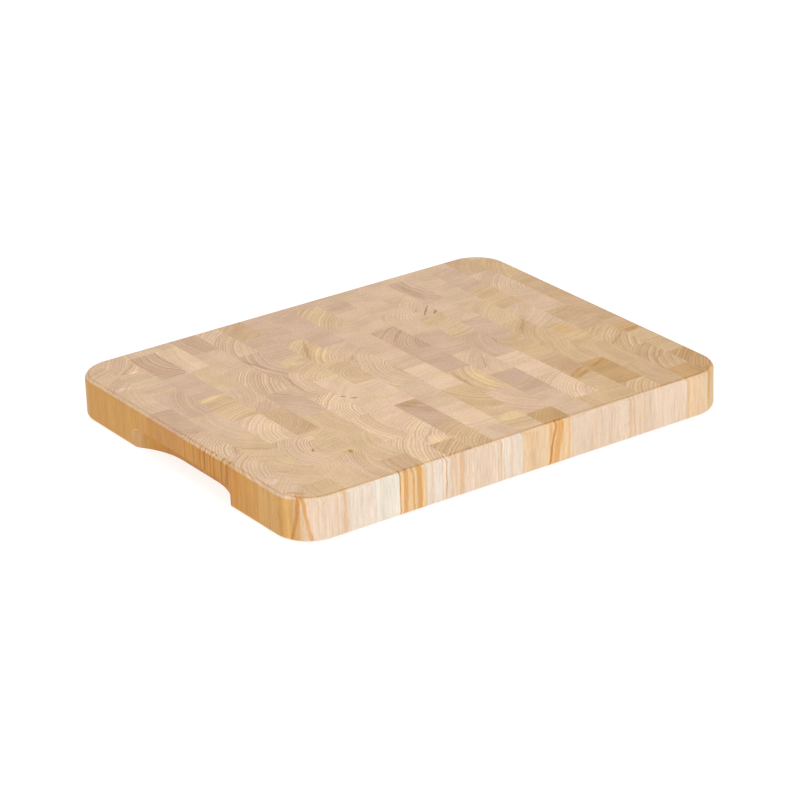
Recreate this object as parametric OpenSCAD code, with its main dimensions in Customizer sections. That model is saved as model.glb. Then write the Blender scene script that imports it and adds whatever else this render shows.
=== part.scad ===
// End-grain cutting board: strips of upright wood blocks glued side by side, with
// rounded corners, rounded-over edges and a finger grip routed under each short side.
// Origin at the middle of the underside, +X along the long side, +Z up, millimetres.

/* [Board] */
// Length of the board, across the strips
board_length = 400; // [300:10:500]
// Width of the board, along the strips
board_width = 320; // [240:10:400]
// Thickness of the board, which is the height of every block
board_thickness = 35; // [30:1:60]

/* [Edges] */
// Radius of the four corners, seen from above
corner_radius = 30; // [15:1:45]
// Round-over along the edge of the work surface
top_round = 4; // [1:0.5:8]
// Round-over along the bottom edge
bottom_round = 4; // [1:0.5:8]

/* [Finger grips] */
// Length of each grip along the short side
grip_length = 140; // [110:1:150]
// How far each grip reaches in from the short side
grip_depth = 17; // [10:0.5:18]
// Height of each grip above the underside
grip_height = 18.5; // [14:0.5:22]
// Radius of the curved ends of a grip, seen from above
grip_end_radius = 70; // [40:1:90]
// Radius of the cove between a grip's back wall and its ceiling
grip_cove = 8; // [2:0.5:10]

/* [Blocks] */
// Length of a full block along its strip
block_length = 51; // [40:1:60]
// Width of the narrow stock, before the lay-up is trimmed to the board's length
narrow = 20.5; // [15:0.5:22]
// Width of the medium stock
medium = 22.5; // [18:0.5:26]
// Width of the wide stock
wide = 24; // [20:0.5:30]
// Last strip, counted from the left end, before the bond skips a beat
bond_skip = 3; // [0:1:17]

/* [Hidden] */
$fn = 96;
// How far a cutting tool runs past the surface it cuts
overrun = 1;

// The stock that each strip is cut from, from the left end
strip_shares = [
    narrow, wide, wide, narrow, wide, narrow, medium, narrow, wide,
    medium, wide, wide, medium, narrow, medium, medium, medium, narrow
];

strip_count = len(strip_shares);
share_sum = sum_to(strip_shares, strip_count);
halves = ["odd", "even"];

// Tones of the wood, from pale sapwood to brown heartwood
tones = ["BurlyWood", "Wheat", "Tan", "NavajoWhite", "PeachPuff", "RosyBrown", "Moccasin"];

function sum_to(list, count) = count == 0 ? 0 : list[count - 1] + sum_to(list, count - 1);

function node_name(strip, half) = str("strip_", strip < 10 ? "0" : "", strip, "_", half, "_blocks");

// Left side of a strip. Strips count from 1, and the one past the last gives the right end.
function strip_x(strip) =
    board_length * (sum_to(strip_shares, strip - 1) / share_sum - 0.5);

// Distance from the front edge to a strip's first glue joint. The strips start by turns with
// a full block and with half of one, like a brick bond, which skips a beat after one strip.
function first_joint(strip) =
    (strip % 2 == 1) == (strip <= bond_skip) ? block_length : block_length / 2;

// How many blocks a strip holds
function block_count(strip) =
    1 + ceil((board_width - first_joint(strip)) / block_length);

// Front side of a block. Blocks count from 1, and the one past the last gives the rear edge.
function block_y(strip, block) =
    (block == 1 ? 0 : min(board_width, first_joint(strip) + (block - 2) * block_length))
    - board_width / 2;

function tone_of(strip, half) = tones[(3 * strip + (half == "odd" ? 0 : 2)) % len(tones)];

// Section through the rim, from the centre of a corner out to the side face
module rim_section() {
    half_height = board_thickness / 2;
    square([corner_radius - bottom_round, half_height]);
    translate([0, half_height])
        square([corner_radius - top_round, half_height]);
    translate([0, bottom_round])
        square([corner_radius, board_thickness - bottom_round - top_round]);
    translate([corner_radius - bottom_round, bottom_round])
        circle(bottom_round);
    translate([corner_radius - top_round, board_thickness - top_round])
        circle(top_round);
}

// One side of the rim, centred on X, its face turned towards +Y
module rim_side(length) {
    rotate([90, 0, 90])
        linear_extrude(length, center = true)
            rim_section();
}

// The whole board as one shape, without its grips
module board_outline() {
    corner_x = board_length / 2 - corner_radius;
    corner_y = board_width / 2 - corner_radius;
    translate([-corner_x, -corner_y, 0])
        cube([2 * corner_x, 2 * corner_y, board_thickness]);
    for (turn = [0, 180])
        rotate([0, 0, turn]) {
            translate([0, corner_y, 0])
                rim_side(2 * corner_x);
            rotate([0, 0, 90])
                translate([0, corner_x, 0])
                    rim_side(2 * corner_y);
            for (end = [-1, 1])
                translate([end * corner_x, corner_y, 0])
                    rotate_extrude()
                        rim_section();
        }
}

// Section through a grip: a wall at x = reach, a flat ceiling, and a cove between them
module grip_section(reach) {
    translate([0, -overrun])
        square([reach, grip_height - grip_cove + overrun]);
    square([reach - grip_cove, grip_height]);
    translate([reach - grip_cove, grip_height - grip_cove])
        circle(grip_cove);
}

// The shape that the router removes for one grip, at the left end: two discs, whose near
// sides are the curved ends, and the flat stretch of wall that runs between them
module grip_cutter() {
    end_run = sqrt(2 * grip_end_radius * grip_depth - pow(grip_depth, 2));
    flat_length = grip_length - 2 * end_run;
    wall_x = grip_depth - board_length / 2;
    disc_x = wall_x - grip_end_radius;
    for (side = [-1, 1])
        translate([disc_x, side * flat_length / 2, 0])
            rotate_extrude()
                grip_section(grip_end_radius);
    translate([disc_x, flat_length / 2, 0])
        rotate([90, 0, 0])
            linear_extrude(flat_length)
                grip_section(grip_end_radius);
}

module board_shape() {
    difference() {
        board_outline();
        grip_cutter();
        mirror([1, 0, 0])
            grip_cutter();
    }
}

// Every second block of a strip. The other half fills the gaps, face to face.
module strip_blocks(strip, half) {
    x = strip_x(strip);
    color(tone_of(strip, half))
        intersection() {
            board_shape();
            for (block = [half == "odd" ? 1 : 2 : 2 : block_count(strip)])
                translate([x, block_y(strip, block), 0])
                    cube([
                        strip_x(strip + 1) - x,
                        block_y(strip, block + 1) - block_y(strip, block),
                        board_thickness
                    ]);
        }
}

for (strip = [1 : strip_count])
    for (half = halves)
        strip_blocks(strip, half);
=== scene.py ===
"""An end-grain cutting board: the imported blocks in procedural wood, on a pale floor in soft light."""
import math
import random

import bpy
from mathutils import Matrix, Vector


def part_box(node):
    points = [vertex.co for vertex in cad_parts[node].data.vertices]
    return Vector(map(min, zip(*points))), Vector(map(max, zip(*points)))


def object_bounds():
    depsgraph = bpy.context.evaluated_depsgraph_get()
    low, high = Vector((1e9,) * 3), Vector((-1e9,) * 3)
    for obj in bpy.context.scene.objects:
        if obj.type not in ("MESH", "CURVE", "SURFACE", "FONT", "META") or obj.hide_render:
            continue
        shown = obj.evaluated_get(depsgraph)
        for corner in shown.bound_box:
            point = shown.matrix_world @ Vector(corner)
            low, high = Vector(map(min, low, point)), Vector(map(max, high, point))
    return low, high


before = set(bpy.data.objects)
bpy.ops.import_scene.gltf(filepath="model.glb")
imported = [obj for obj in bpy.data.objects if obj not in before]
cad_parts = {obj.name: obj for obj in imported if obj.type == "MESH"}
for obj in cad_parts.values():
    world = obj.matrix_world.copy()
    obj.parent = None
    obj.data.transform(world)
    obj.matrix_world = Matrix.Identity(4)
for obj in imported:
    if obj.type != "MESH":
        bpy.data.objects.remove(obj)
cad_low, cad_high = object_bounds()

# ---------------------------------------------------------------- camera
CAMERA_AZIMUTH = math.radians(34.41)
CAMERA_ELEVATION = math.radians(23.60)
CAMERA_ROLL = math.radians(-2.02)
CAMERA_DISTANCE = 2.532
CAMERA_LENS = 146.6
SENSOR_WIDTH = 36.0
# How far the view's centre lies from the board's, to the right and upwards, in metres
AIM_RIGHT = 0.0012
AIM_UP = -0.0095

# ---------------------------------------------------------------- studio
WHITE = (1, 1, 1, 1)
SKY_STRENGTH = 0.78
KEY_POWER = 13.0
KEY_PLACE = (-0.4, -0.9, 2.0)
KEY_SIZE = 1.5
FLOOR_SIZE = 12.0
FLOOR_GAP = 0.0004
FLOOR_GLOW = 0.78
FLOOR_GREY = 0.32
FLOOR_ROUGHNESS = 0.9

# ---------------------------------------------------------------- wood
# Display colours of the end grain, by the letter that the lay-up uses: pale, common, straw,
# olive, rosy, tan, dusky and brown
END_TONES = {
    "p": (227, 197, 165),
    "c": (217, 187, 156),
    "s": (217, 187, 149),
    "o": (211, 180, 139),
    "r": (210, 179, 152),
    "t": (206, 173, 135),
    "d": (204, 172, 145),
    "b": (198, 160, 110),
}
# Display colours of the side grain on the long faces
LONG_TONES = {
    "v": (237, 228, 214),
    "w": (233, 217, 201),
    "p": (231, 207, 184),
    "h": (231, 201, 165),
    "o": (234, 202, 159),
    "b": (224, 190, 142),
}
# Display colours of the short faces: their own orange side grain, made darker and more orange with
# painted shade
SHORT_TONES_WITH_SHADE = {
    "a": (207, 160, 94),
    "r": (203, 148, 73),
    "n": (199, 143, 64),
    "d": (195, 138, 69),
    "e": (201, 149, 75),
}

# Each strip from the left end, and in it each block from the front edge: the tone of its end
# grain, the way to the heart of the log, and the boldness of its rings
LAY_UP = (
    "cs1 cs2 cs3 dw1 cE0 cs2 cs1",
    "oE1 se1 se1 cE0 rE1 cN1 cn2",
    "sE0 cE3 ps2 sS3 rN0 dE3 cE2",
    "cE3 sN1 tn1 cn1 sE0 pE0 cE1",
    "tE1 sE0 sE0 rw1 cs3 cN0 dE2",
    "ps3 pE3 ps3 cE2 rE2 cs3 cs2",
    "ts3 ps2 pN0 ps0 ss2 rN1 tn1",
    "os2 de2 pN0 so2 ss2 rN0 rN0",
    "cE0 pN0 cN0 cE3 cs1 rN0 rN0",
    "sN1 oe1 pN0 cN0 cN0 ss2 rN0",
    "bs1 ce1 sE2 dN0 ds2 cN0 rN1",
    "cN0 dN0 cs1 rN0 cE1 cN0 cN0",
    "oE1 ps2 pN0 rE1 sN1 cs1 cN0",
    "oN1 tN2 oN1 rN0 cN0 rE1 cE1",
    "os2 bN1 oE1 os1 ss1 cN0 cN0",
    "tE1 oE1 oN1 cn1 oN1 rN0 cN0",
    "bE2 ts2 os2 tN1 cN0 cs2 ts1",
    "bs3 oN0 tN1 tN1 tN0 os1 cN0",
)
# Tone and boldness of the long face of each strip's front block, from the left end
FRONT_FACES = "p0 p0 w0 v0 o1 w1 p2 p0 w1 h1 o2 p0 p0 p1 p0 p0 h0 b1".split()
# Tone and boldness of the short faces, from the front edge
LEFT_FACES = "a1 r1 n3 d0 e0 e0 e0".split()
RIGHT_FACES = "e1 d1 a2 n1 e0 r1 e0".split()

# The way to the heart of the log, to the right and to the rear, by the letter that the lay-up
# uses: capitals for the sides, small letters for the corners, and "o" for inside the block
COMPASS = {
    "E": (1.0, 0.0), "N": (0.0, 1.0), "S": (0.0, -1.0),
    "e": (0.7, 0.7), "n": (-0.7, 0.7), "w": (-0.7, -0.7), "s": (0.7, -0.7), "o": (0.05, -0.15),
}
# Boldness of the rings, by the digit that the lay-up uses
BOLDNESS = (0.18, 0.34, 0.58, 0.82)
# Distance of the heart from the middle of a block, and how far its direction may turn aside
HEART_NEAR = 0.030
HEART_FAR = 0.080
HEART_TURN = 0.30
RING_NARROW = 0.0020
RING_WIDE = 0.0032
# Ramps hold values from 0 to 1, so a place in metres is stored with this added
RAMP_SHIFT = 0.5

# Marks: ovals in the end grain that run down through a block, so that one at an edge shows as
# a streak in the side face. Each has its strip and block, its place from the left end and from
# the front edge, its length and width, all in mm, its turn and lean in degrees, and its kind.
MARKS = (
    (1, 1, 9, 46, 12, 9, 20, 0, "flake"),
    (1, 6, 11, 259, 15, 4, 5, 0, "flake"),
    (1, 1, 11, 19, 18, 4, -45, 0, "band"),
    (2, 2, 24, 55, 12, 2, -40, 0, "line"),
    (2, 3, 31, 101, 30, 3, -36, 0, "line"),
    (2, 7, 38, 293, 30, 3, 38, 0, "band"),
    (2, 7, 28, 284, 10, 3, -20, 0, "band"),
    (2, 7, 35, 281, 13, 7, 10, 0, "gold"),
    (2, 7, 35, 281, 9, 5, 10, 0, "flake"),
    (3, 2, 62, 72, 5, 2, 70, 0, "fleck"),
    (3, 4, 52, 200, 22, 10, 15, 0, "gold"),
    (4, 2, 72, 92, 10, 7, 0, 0, "flake"),
    (4, 2, 82, 54, 9, 7, 60, 0, "honey"),
    (4, 2, 83, 54, 6, 3, 70, 0, "knot"),
    (4, 2, 78, 55, 6, 2, 10, 0, "line"),
    (4, 4, 77, 161, 26, 16, 50, 0, "shade"),
    (5, 4, 99, 175, 30, 3, -50, 0, "line"),
    (6, 4, 119, 182, 46, 3, 82, 0, "line"),
    (6, 5, 116, 234, 34, 4, 104, 0, "line"),
    (7, 2, 143, 40, 29, 3, 43, 0, "line"),
    (7, 2, 146, 32, 16, 12, 30, 0, "gold"),
    (7, 4, 135, 139, 6, 3, -48, 0, "fleck"),
    (7, 4, 140, 133, 6, 3, -48, 0, "fleck"),
    (7, 4, 132, 126, 5, 2, 30, 0, "line"),
    (7, 5, 144, 216, 12, 10, 0, 0, "flake"),
    (8, 2, 167, 97, 20, 13, -20, 0, "olive"),
    (8, 2, 164, 91, 28, 2, -48, 0, "line"),
    (8, 5, 164, 234, 52, 4, 64, 0, "line"),
    (8, 5, 170, 224, 30, 12, 64, 0, "gold"),
    (9, 5, 183, 198, 14, 4, 50, 0, "line"),
    (10, 1, 211, 30, 20, 16, 0, 0, "gold"),
    (11, 3, 224, 108, 44, 3, 85, 0, "line"),
    (11, 3, 236, 98, 40, 14, 85, 0, "gold"),
    (11, 5, 236, 212, 30, 3, 42, 0, "line"),
    (12, 3, 258, 126, 30, 2, 60, 0, "line"),
    (13, 4, 291, 158, 46, 2, 84, 0, "line"),
    (13, 6, 285, 241, 26, 2, 45, 0, "fleck"),
    (13, 6, 278, 246, 9, 3, 45, 0, "line"),
    (13, 6, 289, 234, 10, 3, 40, 0, "fleck"),
    (14, 2, 303, 66, 26, 4, 28, 0, "band"),
    (14, 2, 303, 59, 26, 4, 28, 0, "band"),
    (14, 2, 303, 62, 26, 12, 28, 0, "honey"),
    (14, 2, 303, 76, 24, 16, 10, 0, "shade"),
    (14, 6, 299, 280, 44, 10, 88, 0, "shade"),
    (15, 2, 325, 69, 24, 4, 24, 0, "band"),
    (15, 2, 325, 66, 24, 12, 24, 0, "honey"),
    (15, 4, 325, 165, 34, 3, 50, 0, "line"),
    (16, 3, 346, 139, 20, 18, 30, 0, "honey"),
    (16, 3, 346, 122, 20, 18, 10, 0, "gold"),
    (17, 2, 372, 51, 26, 3, 40, 0, "line"),
    (17, 3, 365, 96, 28, 3, 35, 0, "line"),
    (17, 7, 372, 279, 9, 4, 10, 0, "line"),
    (18, 3, 388, 113, 18, 22, 0, 0, "honey"),
    (18, 3, 389, 106, 18, 8, 10, 0, "band"),
    (1, 1, 1, 18, 12, 8, 0, 0, "flake"),
    (1, 1, 9, 8, 22, 9, 80, 5, "honey"),
    (1, 1, 6, 12, 14, 2, 80, 8, "amber"),
    (1, 1, 12, 6, 16, 3, 80, -8, "amber"),
    (2, 1, 41, 0, 9, 3, 90, 0, "tea"),
    (5, 1, 88, 0, 9, 3, 92, 0, "brown"),
    (5, 1, 94, 0, 9, 5, 86, 2, "amber"),
    (5, 1, 101, 0, 9, 2, 90, -2, "amber"),
    (5, 1, 106, 0, 9, 5, 95, 0, "amber"),
    (6, 1, 130, 0, 9, 1, 90, 0, "brown"),
    (7, 1, 135, 0, 9, 2, 90, 2, "tea"),
    (7, 1, 139, 0, 9, 2, 90, -2, "tea"),
    (9, 1, 177, 0, 9, 1, 90, 0, "tea"),
    (9, 1, 180, 0, 9, 2, 90, 0, "tea"),
    (9, 1, 183, 0, 9, 1, 90, 0, "tea"),
    (11, 1, 228, 0, 9, 3, 94, 12, "brown"),
    (11, 1, 233, 0, 9, 6, 94, 9, "amber"),
    (14, 1, 302, 0, 9, 3, 90, 0, "tea"),
    (14, 1, 306, 0, 9, 2, 90, 0, "tea"),
    (14, 1, 312, 0, 9, 4, 90, 0, "honey"),
    (17, 1, 358, 0, 9, 4, 90, 0, "tea"),
    (18, 1, 380, 2, 20, 4, 70, 6, "band"),
    (1, 2, 0, 80, 8, 14, 0, 0, "honey"),
    (1, 2, 0, 88, 8, 3, 0, 0, "tea"),
    (1, 2, 0, 94, 12, 6, 0, 3, "rust"),
    (1, 2, 0, 101, 12, 4, 0, 0, "rust"),
    (1, 3, 0, 111, 12, 2, 0, 0, "rust"),
    (1, 3, 0, 116, 12, 2, 0, 0, "rust"),
    (1, 3, 0, 120, 12, 1, 0, 0, "rust"),
    (1, 3, 0, 125, 12, 2, 0, 0, "rust"),
    (1, 3, 0, 130, 12, 2, 0, 0, "rust"),
)
MARK_TINTS = {
    "flake": (1.15, 1.19, 1.26),
    "gold": (1.10, 1.12, 1.00),
    "shade": (0.89, 0.84, 0.80),
    "olive": (0.88, 0.85, 0.68),
    "band": (0.90, 0.79, 0.56),
    "line": (0.86, 0.78, 0.69),
    "fleck": (0.58, 0.47, 0.42),
    "knot": (0.72, 0.47, 0.30),
    "amber": (0.90, 0.68, 0.42),
    "tea": (0.95, 0.85, 0.70),
    "honey": (1.00, 0.93, 0.77),
    "rust": (0.84, 0.64, 0.36),
    "brown": (0.76, 0.51, 0.28),
}
MILLIMETRE = 0.001
# Share of an oval's radius at which its mark starts to fade and is gone
MARK_FADE = (0.55, 1.15)

# ---------------------------------------------------------------- wood shader
# Scales of each noise across the board, along it and down through it, per metre
SLOW_WANDER = (26, 26, 9)
QUICK_WANDER = (190, 190, 14)
CLOUD_SCALE = (60, 60, 18)
MARK_EDGE = (150, 150, 55)
MOTTLE_SCALE = (650, 650, 60)
RAY_SCALE = (900, 900, 260)
FIBRE_SCALE = (1500, 1500, 45)
PORE_SCALE = (3200, 3200, 110)
# How far the wandering grain and the ragged edge of a mark may stray
SLOW_REACH = 0.006
QUICK_REACH = 0.0011
MARK_REACH = 0.0045
# Scales of the noises along the distance from the heart, per metre
YEAR_SCALE = 160.0
SPELL_SCALE = 75.0
STREAK_SCALE = 200.0
# How many rings wide the change in their spacing is
YEAR_SPREAD = 1.6

# Each pair of limits is where a smooth step starts and where it ends
SHORT_FACING = (0.44, 0.66)
END_FACING = (0.72, 0.96)
RIM_STARTS = (0.88, 0.95)
RIM_STOPS = (0.985, 0.999)
RIM_PATCHES = (0.30, 0.60)
RIM_LEAST = 0.3
GRIP_NEAR_END = (0.175, 0.180)
GRIP_HALF_LENGTH = (0.085, 0.095)
# Parts of a year of growth, which runs from 0 to 1
EARLY_STARTS = (0.0, 0.08)
EARLY_STOPS = (0.18, 0.45)
LATE_STARTS = (0.45, 0.85)
LATE_STOPS = (0.88, 1.0)
YEAR_STRENGTH = (-0.6, 1.0)
SPELL_STARTS = (0.48, 0.54)
STREAK_STARTS = (0.50, 0.60)
RAY_STARTS = (0.60, 0.74)
PORE_STARTS = (0.62, 0.70)
DRIFT_SPREAD = (0.30, 0.70)
NOISE_SPREAD = (0.25, 0.75)
GLOSS_SPREAD = (0.2, 1.2)
ROUGHNESS = (0.42, 0.64)

# How much further down a round-over the end grain reaches on the short sides
SHORT_OVERLAP = 0.30
# Painted shade on the grip walls: how much of the short-side tone they take, where 1 is a short side
GRIP_PAINTED_SHADE = 0.75
# Boldness of the rings on the side grain, where 1 is the end grain
SIDE_RINGS = 0.38
# How much a dark spell shows where there are no rings, and how much more where they are bold
SPELL_LEAST = 0.3
SPELL_MORE = 0.5
# How much the fibre and the late wood each add to the bump
FIBRE_HEIGHT = 0.5
LATE_HEIGHT = 0.5
BUMP_STRENGTH = 0.35
BUMP_DISTANCE = 0.0003
SHEEN = 0.22

# Tints, which multiply a tone. A pair runs from the low end of a noise to the high end.
PLAIN = (1.0, 1.0, 1.0)
DRIFT_TINTS = (1.02, 0.985, 1.035), (1.00, 1.005, 0.955)
CLOUD_TINTS = (0.95, 0.94, 0.91), (1.05, 1.05, 1.05)
MOTTLE_TINTS = (0.93, 0.92, 0.91), (1.07, 1.07, 1.08)
FIBRE_TINTS = (0.93, 0.91, 0.88), (1.07, 1.08, 1.09)
SPELL_TINTS = (1.03, 1.03, 1.04), (0.90, 0.85, 0.83)
LATE_TINT = (0.76, 0.67, 0.55)
EARLY_TINT = (1.27, 1.31, 1.20)
STREAK_TINT = (0.90, 0.68, 0.42)
RAY_TINT = (0.95, 0.89, 0.82)
PIT_TINT = (0.80, 0.74, 0.66)
RIM_TINT = (0.84, 0.70, 0.54)

# Faces of one block lie closer than this, in metres, and faces of two blocks do not
SAME_PLACE = 0.0005
# Which sockets of a Mix node carry colours
MIX_FIRST, MIX_SECOND, MIX_RESULT = 6, 7, 2
# What the grain group is given and what it makes, with the kind of each socket
GRAIN_INPUTS = (
    ("Place", "Vector"),
    ("Heart", "Vector"),
    ("Width", "Float"),
    ("End boldness", "Float"),
    ("Side boldness", "Float"),
    ("End", "Color"),
    ("Long side", "Color"),
    ("Short side", "Color"),
)
GRAIN_OUTPUTS = (("Color", "Color"), ("Roughness", "Float"), ("Height", "Float"))


def linear_channel(display):
    """One sRGB channel from 0 to 255 as linear light."""
    share = display / 255
    return share / 12.92 if share < 0.04045 else ((share + 0.055) / 1.055) ** 2.4


def linear(display):
    """A display colour from 0 to 255 as linear RGBA."""
    return tuple(linear_channel(channel) for channel in display) + (1.0,)


def feed(tree, target, value):
    """Links a socket to an input, or sets the input to a plain value."""
    if isinstance(value, bpy.types.NodeSocket):
        tree.links.new(value, target)
    else:
        target.default_value = value


def calc(tree, operation, *values):
    """One step of arithmetic."""
    node = tree.nodes.new("ShaderNodeMath")
    node.operation = operation
    for target, value in zip(node.inputs, values):
        feed(tree, target, value)
    return node.outputs[0]


def times(tree, first, second):
    return calc(tree, "MULTIPLY", first, second)


def plus(tree, first, second):
    return calc(tree, "ADD", first, second)


def minus(tree, first, second):
    return calc(tree, "SUBTRACT", first, second)


def vector_calc(tree, operation, first, second):
    node = tree.nodes.new("ShaderNodeVectorMath")
    node.operation = operation
    feed(tree, node.inputs[0], first)
    feed(tree, node.inputs[1], second)
    return node.outputs[0]


def noise(tree, place, scale, detail=2.0):
    """Noise from 0 to 1 about 0.5, stretched by a scale along each axis."""
    node = tree.nodes.new("ShaderNodeTexNoise")
    node.inputs["Scale"].default_value = 1.0
    node.inputs["Detail"].default_value = detail
    feed(tree, node.inputs["Vector"], vector_calc(tree, "MULTIPLY", place, scale))
    return node


def step_linear(tree, value, low, high, to_low=0.0, to_high=1.0):
    """A value carried from one range to another in a straight line."""
    node = tree.nodes.new("ShaderNodeMapRange")
    limits = (("From Min", low), ("From Max", high), ("To Min", to_low), ("To Max", to_high))
    for name, number in limits:
        node.inputs[name].default_value = number
    feed(tree, node.inputs["Value"], value)
    return node.outputs["Result"]


def step(tree, value, low, high, to_low=0.0, to_high=1.0):
    """A smooth step of a value between two limits."""
    result = step_linear(tree, value, low, high, to_low, to_high)
    result.node.interpolation_type = "SMOOTHSTEP"
    return result


def fall(tree, value, low, high):
    """A smooth step down, from 1 to 0."""
    return step(tree, value, low, high, 1.0, 0.0)


def blend(tree, amount, first, second, kind="MIX"):
    """Two colours mixed by an amount."""
    node = tree.nodes.new("ShaderNodeMix")
    node.data_type = "RGBA"
    node.blend_type = kind
    feed(tree, node.inputs["Factor"], amount)
    feed(tree, node.inputs[MIX_FIRST], first)
    feed(tree, node.inputs[MIX_SECOND], second)
    return node.outputs[MIX_RESULT]


def separate(tree, vector):
    """The X, Y and Z of a vector."""
    node = tree.nodes.new("ShaderNodeSeparateXYZ")
    feed(tree, node.inputs[0], vector)
    return node.outputs


def separate_colour(tree, colour):
    """The red, green and blue of a colour."""
    node = tree.nodes.new("ShaderNodeSeparateColor")
    feed(tree, node.inputs[0], colour)
    return node.outputs


def tinted(tree, tone, amount, low, high):
    """A tone multiplied by a tint that runs from low to high with the amount."""
    return blend(tree, 1.0, tone, blend(tree, amount, (*low, 1), (*high, 1)), "MULTIPLY")


def shifted(tree, place, scale, reach):
    """Noise that moves a place sideways, by up to half the reach."""
    drift = vector_calc(tree, "SUBTRACT", noise(tree, place, scale).outputs["Color"], (0.5, 0.5, 0.5))
    return vector_calc(tree, "MULTIPLY", drift, (reach, reach, 0))


def wandered(tree, place):
    """The place in the log that a point of the block comes from: grain is never quite straight."""
    slow = shifted(tree, place, SLOW_WANDER, SLOW_REACH)
    quick = shifted(tree, place, QUICK_WANDER, QUICK_REACH)
    return vector_calc(tree, "ADD", place, vector_calc(tree, "ADD", slow, quick))


def heart_distance(tree, place, heart):
    """Distance from the heart of the log, seen along the grain."""
    point = separate(tree, place)
    centre = separate(tree, heart)
    across = plus(tree, minus(tree, point["X"], centre["X"]), RAMP_SHIFT)
    along = plus(tree, minus(tree, point["Y"], centre["Y"]), RAMP_SHIFT)
    squares = plus(tree, calc(tree, "POWER", across, 2.0), calc(tree, "POWER", along, 2.0))
    return calc(tree, "SQRT", squares)


def noise_along(tree, value, scale):
    """One-dimensional noise along a value."""
    node = tree.nodes.new("ShaderNodeTexNoise")
    node.noise_dimensions = "1D"
    node.inputs["Scale"].default_value = scale
    feed(tree, node.inputs["W"], value)
    return node.outputs["Fac"]


def faces_of_point(tree, place, facing):
    """How much of a point is end grain, and how much of its side grain takes the short-side tone: the
    short sides, and the grip walls as painted shade.
    """
    sideways = calc(tree, "ABSOLUTE", facing["X"])
    lengthways = calc(tree, "ABSOLUTE", facing["Y"])
    share = calc(tree, "DIVIDE", sideways, plus(tree, sideways, lengthways))
    shortness = step(tree, share, *SHORT_FACING)
    # End grain reaches further down the round-over of the short sides
    level = plus(tree, calc(tree, "ABSOLUTE", facing["Z"]), times(tree, shortness, SHORT_OVERLAP))
    endness = step(tree, level, *END_FACING)
    # Painted shade in the finger grips: their walls take the dark short-side tone, whichever way they
    # face
    spot = separate(tree, place)
    near_end = step(tree, calc(tree, "ABSOLUTE", spot["X"]), *GRIP_NEAR_END)
    from_middle = calc(tree, "ABSOLUTE", spot["Y"])
    mid_width = step(tree, from_middle, *GRIP_HALF_LENGTH, GRIP_PAINTED_SHADE, 0.0)
    return endness, calc(tree, "MAXIMUM", shortness, times(tree, near_end, mid_width))


def growth(tree, given, reach, bold):
    """The rings: late wood, early wood, and how strongly the year shows."""
    spacing = times(tree, noise_along(tree, reach, YEAR_SCALE), YEAR_SPREAD)
    years = plus(tree, calc(tree, "DIVIDE", reach, given["Width"]), spacing)
    season = calc(tree, "FRACT", years)
    late = times(tree, step(tree, season, *LATE_STARTS), fall(tree, season, *LATE_STOPS))
    early = times(tree, step(tree, season, *EARLY_STARTS), fall(tree, season, *EARLY_STOPS))
    year = tree.nodes.new("ShaderNodeTexWhiteNoise")
    year.noise_dimensions = "1D"
    feed(tree, year.inputs["W"], calc(tree, "FLOOR", years))
    return late, early, times(tree, bold, step(tree, year.outputs["Value"], *YEAR_STRENGTH))


def fibres(tree, place, endness):
    """The fibre noise. Side grain has been planed smooth, so it shows half as much there."""
    show = plus(tree, times(tree, endness, 0.5), 0.5)
    fibre = noise(tree, place, FIBRE_SCALE, 3.0).outputs["Fac"]
    return plus(tree, times(tree, minus(tree, fibre, 0.5), show), 0.5)


def noise_tinted(tree, tone, value, tints):
    """A tone tinted by a noise, from one tint at its low end to another at its high end."""
    return tinted(tree, tone, step(tree, value, *NOISE_SPREAD), *tints)


def bare_tone(tree, given, place, endness, shortness, fibre):
    """The tone of the wood before its rings, and the noise of its slow clouds."""
    coarse = noise(tree, place, CLOUD_SCALE, 3.0).outputs["Color"]
    cloud, drift, _ = separate(tree, coarse)
    mottle = noise(tree, place, MOTTLE_SCALE, 2.0).outputs["Fac"]
    # The short sides and the grip walls take the short-side tone, which holds painted shade
    side = blend(tree, shortness, given["Long side"], given["Short side"])
    end = tinted(tree, given["End"], step(tree, drift, *DRIFT_SPREAD), *DRIFT_TINTS)
    tone = blend(tree, endness, side, end)
    tone = noise_tinted(tree, tone, cloud, CLOUD_TINTS)
    tone = noise_tinted(tree, tone, mottle, MOTTLE_TINTS)
    return noise_tinted(tree, tone, fibre, FIBRE_TINTS), cloud


def with_spells(tree, tone, reach, bold, endness):
    """Dark spells of several years, in the end grain."""
    spell = step(tree, noise_along(tree, reach, SPELL_SCALE), *SPELL_STARTS)
    spell = times(tree, spell, plus(tree, times(tree, bold, SPELL_MORE), SPELL_LEAST))
    return tinted(tree, tone, times(tree, spell, endness), *SPELL_TINTS)


def with_side_figure(tree, tone, place, reach, boldness, sideness):
    """Broad streaks and short rays, in the side grain."""
    streak = step(tree, noise_along(tree, reach, STREAK_SCALE), *STREAK_STARTS)
    streak = times(tree, times(tree, streak, sideness), boldness)
    tone = tinted(tree, tone, streak, PLAIN, STREAK_TINT)
    ray = step(tree, noise(tree, place, RAY_SCALE, 1.0).outputs["Fac"], *RAY_STARTS)
    return tinted(tree, tone, times(tree, ray, sideness), PLAIN, RAY_TINT)


def with_rim(tree, tone, level, cloud):
    """End grain darkens in a band where an upward face starts to turn over an edge."""
    rim = times(tree, step(tree, level, *RIM_STARTS), fall(tree, level, *RIM_STOPS))
    rim = times(tree, rim, step(tree, cloud, *RIM_PATCHES, RIM_LEAST, 1.0))
    return tinted(tree, tone, rim, PLAIN, RIM_TINT)


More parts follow.
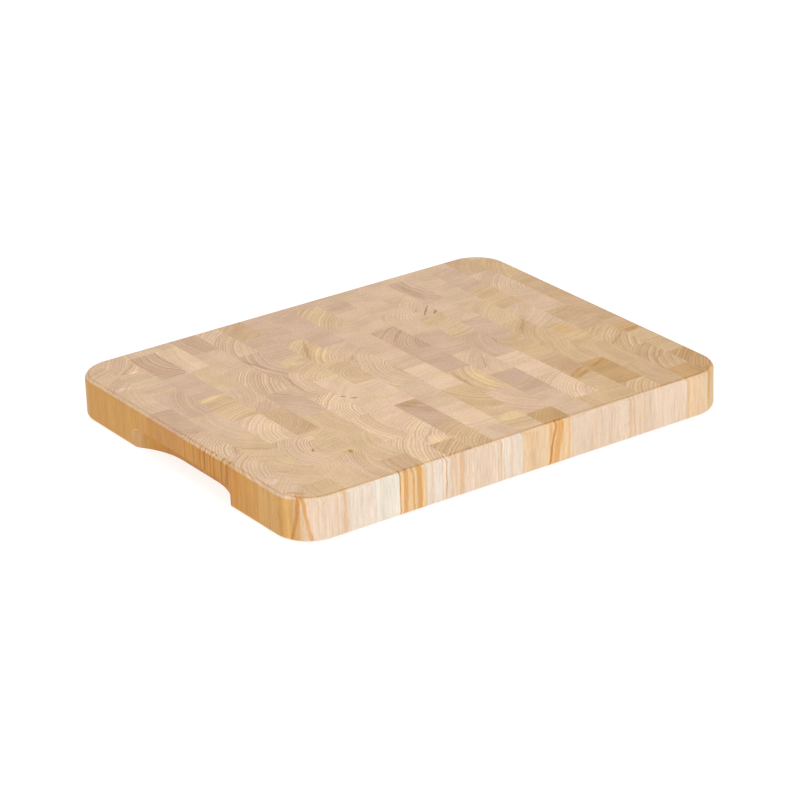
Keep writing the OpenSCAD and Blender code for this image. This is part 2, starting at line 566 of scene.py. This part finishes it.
def make_grain():
    """A group that grows the rings, fibres and pores of one block."""
    tree = bpy.data.node_groups.new("wood_grain", "ShaderNodeTree")
    for name, kind in GRAIN_INPUTS:
        tree.interface.new_socket(name, in_out="INPUT", socket_type="NodeSocket" + kind)
    for name, kind in GRAIN_OUTPUTS:
        tree.interface.new_socket(name, in_out="OUTPUT", socket_type="NodeSocket" + kind)
    given = tree.nodes.new("NodeGroupInput").outputs
    made = tree.nodes.new("NodeGroupOutput").inputs
    place = given["Place"]

    facing = separate(tree, tree.nodes.new("ShaderNodeNewGeometry").outputs["Normal"])
    endness, shortness = faces_of_point(tree, place, facing)
    sideness = minus(tree, 1.0, endness)
    side_rings = times(tree, given["Side boldness"], SIDE_RINGS)
    end_rings = times(tree, endness, given["End boldness"])
    bold = plus(tree, end_rings, times(tree, sideness, side_rings))

    reach = heart_distance(tree, wandered(tree, place), given["Heart"])
    late, early, strength = growth(tree, given, reach, bold)
    fibre = fibres(tree, place, endness)
    pore = noise(tree, place, PORE_SCALE, 1.0).outputs["Fac"]
    pits = times(tree, step(tree, pore, *PORE_STARTS), early)

    tone, cloud = bare_tone(tree, given, place, endness, shortness, fibre)
    tone = tinted(tree, tone, times(tree, late, strength), PLAIN, LATE_TINT)
    tone = tinted(tree, tone, times(tree, early, strength), PLAIN, EARLY_TINT)
    tone = with_spells(tree, tone, reach, bold, endness)
    tone = with_side_figure(tree, tone, place, reach, given["Side boldness"], sideness)
    tone = tinted(tree, tone, pits, PLAIN, PIT_TINT)
    tone = with_rim(tree, tone, facing["Z"], cloud)
    tree.links.new(tone, made["Color"])
    dullness = step(tree, plus(tree, fibre, pits), *GLOSS_SPREAD, *ROUGHNESS)
    tree.links.new(dullness, made["Roughness"])
    height = plus(tree, times(tree, fibre, FIBRE_HEIGHT), times(tree, late, LATE_HEIGHT))
    tree.links.new(minus(tree, height, pits), made["Height"])
    return tree


def block_spans(node):
    """Front and rear of each block in a node, from the front."""
    mesh = node.data
    sides = [[mesh.vertices[v].co.y for v in face.vertices] for face in mesh.polygons]
    spans = []
    for low, high in sorted((min(side), max(side)) for side in sides):
        if spans and low < spans[-1][1] + SAME_PLACE:
            spans[-1][1] = max(spans[-1][1], high)
        else:
            spans.append([low, high])
    return spans


def block_ramp(tree, along, spans, values):
    """A ramp that gives each block its own value. It changes in the gaps between the blocks."""
    node = tree.nodes.new("ShaderNodeValToRGB")
    ramp = node.color_ramp
    ramp.interpolation = "CONSTANT"
    ramp.elements.remove(ramp.elements[1])
    ramp.elements[0].position = 0.0
    ramp.elements[0].color = values[0]
    for before, after, value in zip(spans, spans[1:], values[1:]):
        middle = (before[1] + after[0]) / 2
        ramp.elements.new((middle - cad_low.y) / (cad_high.y - cad_low.y)).color = value
    feed(tree, node.inputs["Fac"], along)
    return node


def heart_of(centre, compass, rng):
    """Where the heart of the log lies for a block."""
    east, north = COMPASS[compass]
    reach = rng.uniform(HEART_NEAR, HEART_FAR)
    turn = rng.uniform(-HEART_TURN, HEART_TURN)
    east, north = east - turn * north, north + turn * east
    return centre[0] + east * reach, centre[1] + north * reach


def marked(tree, tone, place, mark):
    """The tone with one mark laid over it: an oval that runs through the block."""
    across, along, length, width, turn, lean, kind = mark
    oval = tree.nodes.new("ShaderNodeMapping")
    oval.vector_type = "TEXTURE"
    x = cad_low.x + across * MILLIMETRE
    y = cad_low.y + along * MILLIMETRE
    oval.inputs["Location"].default_value = (x, y, (cad_low.z + cad_high.z) / 2)
    oval.inputs["Rotation"].default_value = (math.radians(lean), 0, math.radians(turn))
    oval.inputs["Scale"].default_value = (length * MILLIMETRE / 2, width * MILLIMETRE / 2, 1)
    feed(tree, oval.inputs["Vector"], place)
    flat = vector_calc(tree, "MULTIPLY", oval.outputs["Vector"], (1, 1, 0))
    distance = tree.nodes.new("ShaderNodeVectorMath")
    distance.operation = "LENGTH"
    feed(tree, distance.inputs[0], flat)
    inside = fall(tree, distance.outputs["Value"], *MARK_FADE)
    return tinted(tree, tone, inside, PLAIN, MARK_TINTS[kind])


def side_faces(strip, block, rng):
    """Long tone, short tone with its painted shade, and boldness of a block's side grain."""
    long_face = FRONT_FACES[strip] if block == 0 else rng.choice(FRONT_FACES)
    short_face = LEFT_FACES[block] if strip < len(LAY_UP) / 2 else RIGHT_FACES[block]
    shown = short_face if strip in (0, len(LAY_UP) - 1) else long_face
    long_tone, short_tone_with_shade = LONG_TONES[long_face[0]], SHORT_TONES_WITH_SHADE[short_face[0]]
    return linear(long_tone), linear(short_tone_with_shade), BOLDNESS[int(shown[1])]


def block_looks(strip, half, node, spans):
    """What each block of a node looks like: its heart, and the tones of its faces."""
    low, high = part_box(node.name)
    cuts = LAY_UP[strip].split()[half::2]
    rng = random.Random(100 * strip + half)
    hearts, ends, long_faces, short_faces = [], [], [], []
    for index, (cut, span) in enumerate(zip(cuts, spans)):
        tone, compass, boldness = cut
        centre = (low.x + high.x) / 2, (span[0] + span[1]) / 2
        east, north = heart_of(centre, compass, rng)
        width = rng.random()
        hearts.append((east + RAMP_SHIFT, north + RAMP_SHIFT, width, BOLDNESS[int(boldness)]))
        long_face, short_face, side_boldness = side_faces(strip, 2 * index + half, rng)
        ends.append(linear(END_TONES[tone]))
        long_faces.append((*long_face[:3], side_boldness))
        short_faces.append(short_face)
    return hearts, ends, long_faces, short_faces


def grow_wood(tree, place, grain, spans, looks):
    """The grain group, fed with the looks of each block of a node."""
    along = step_linear(tree, separate(tree, place)["Y"], cad_low.y, cad_high.y)
    heart, end, long_face, short_face = (block_ramp(tree, along, spans, look) for look in looks)
    log = separate_colour(tree, heart.outputs["Color"])
    wood = tree.nodes.new("ShaderNodeGroup")
    wood.node_tree = grain
    feed(tree, wood.inputs["Place"], place)
    feed(tree, wood.inputs["Heart"], heart.outputs["Color"])
    width = step_linear(tree, log["Blue"], 0, 1, RING_NARROW, RING_WIDE)
    feed(tree, wood.inputs["Width"], width)
    feed(tree, wood.inputs["End boldness"], heart.outputs["Alpha"])
    feed(tree, wood.inputs["Side boldness"], long_face.outputs["Alpha"])
    feed(tree, wood.inputs["End"], end.outputs["Color"])
    feed(tree, wood.inputs["Long side"], long_face.outputs["Color"])
    feed(tree, wood.inputs["Short side"], short_face.outputs["Color"])
    return wood.outputs


def strip_material(strip, half, node, grain):
    """The wood of every second block of a strip."""
    material = bpy.data.materials.new(node.name + "_wood")
    material.use_nodes = True
    tree = material.node_tree
    surface = tree.nodes["Principled BSDF"]
    surface.inputs["Specular IOR Level"].default_value = SHEEN
    place = tree.nodes.new("ShaderNodeTexCoord").outputs["Object"]
    spans = block_spans(node)
    wood = grow_wood(tree, place, grain, spans, block_looks(strip, half, node, spans))

    tone = wood["Color"]
    ragged = vector_calc(tree, "ADD", place, shifted(tree, place, MARK_EDGE, MARK_REACH))
    for mark_strip, mark_block, *mark in MARKS:
        if mark_strip == strip + 1 and mark_block % 2 == 1 - half:
            tone = marked(tree, tone, ragged, mark)
    tree.links.new(tone, surface.inputs["Base Color"])
    tree.links.new(wood["Roughness"], surface.inputs["Roughness"])
    bump = tree.nodes.new("ShaderNodeBump")
    bump.inputs["Strength"].default_value = BUMP_STRENGTH
    bump.inputs["Distance"].default_value = BUMP_DISTANCE
    tree.links.new(wood["Height"], bump.inputs["Height"])
    tree.links.new(bump.outputs["Normal"], surface.inputs["Normal"])
    return material


def paint_board():
    """Wood on every node, through the slots of its CAD object."""
    grain = make_grain()
    for strip in range(len(LAY_UP)):
        for half, word in enumerate(("odd", "even")):
            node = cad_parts[f"strip_{strip + 1:02d}_{word}_blocks"]
            material = strip_material(strip, half, node, grain)
            for slot in node.material_slots:
                slot.material = material


def make_camera():
    """The photographer's view: from the front left corner, about 24 degrees up."""
    turn, tilt, roll = CAMERA_AZIMUTH, CAMERA_ELEVATION, CAMERA_ROLL
    run = math.cos(tilt)
    forward = Vector((math.sin(turn) * run, math.cos(turn) * run, -math.sin(tilt)))
    level = Vector((math.cos(turn), -math.sin(turn), 0))
    upright = level.cross(forward)
    right = math.cos(roll) * level + math.sin(roll) * upright
    up = math.cos(roll) * upright - math.sin(roll) * level
    aim = (cad_low + cad_high) / 2 + AIM_RIGHT * right + AIM_UP * up
    data = bpy.data.cameras.new("camera")
    data.lens = CAMERA_LENS
    data.sensor_width = SENSOR_WIDTH
    camera = bpy.data.objects.new("camera", data)
    axes = Matrix((right, up, -forward)).transposed().to_4x4()
    camera.matrix_world = Matrix.Translation(aim - CAMERA_DISTANCE * forward) @ axes
    bpy.context.scene.collection.objects.link(camera)
    bpy.context.scene.camera = camera


def make_floor():
    """A pale floor that is lit from within a little, like a light table."""
    mesh = bpy.data.meshes.new("floor")
    half = FLOOR_SIZE / 2
    corners = [(-half, -half, 0), (half, -half, 0), (half, half, 0), (-half, half, 0)]
    mesh.from_pydata(corners, [], [(0, 1, 2, 3)])
    floor = bpy.data.objects.new("floor", mesh)
    floor.location.z = cad_low.z - FLOOR_GAP
    bpy.context.scene.collection.objects.link(floor)
    material = bpy.data.materials.new("pale_floor")
    material.use_nodes = True
    surface = material.node_tree.nodes["Principled BSDF"].inputs
    surface["Base Color"].default_value = (FLOOR_GREY, FLOOR_GREY, FLOOR_GREY, 1)
    surface["Roughness"].default_value = FLOOR_ROUGHNESS
    surface["Emission Color"].default_value = WHITE
    surface["Emission Strength"].default_value = FLOOR_GLOW
    mesh.materials.append(material)


def make_light(name, place, size, power):
    """A soft square lamp that points at the middle of the board's underside."""
    data = bpy.data.lights.new(name, "AREA")
    data.size = size
    data.energy = power
    lamp = bpy.data.objects.new(name, data)
    lamp.location = place
    lamp.rotation_euler = (-Vector(place)).to_track_quat("-Z", "Y").to_euler()
    bpy.context.scene.collection.objects.link(lamp)


def make_studio():
    """An even white sky, one soft lamp and the floor."""
    world = bpy.data.worlds.new("studio")
    world.use_nodes = True
    sky = world.node_tree.nodes["Background"].inputs
    sky["Color"].default_value = WHITE
    sky["Strength"].default_value = SKY_STRENGTH
    bpy.context.scene.world = world
    bpy.context.scene.view_settings.view_transform = "Standard"
    make_light("key_light", KEY_PLACE, KEY_SIZE, KEY_POWER)
    make_floor()


paint_board()
make_camera()
make_studio()
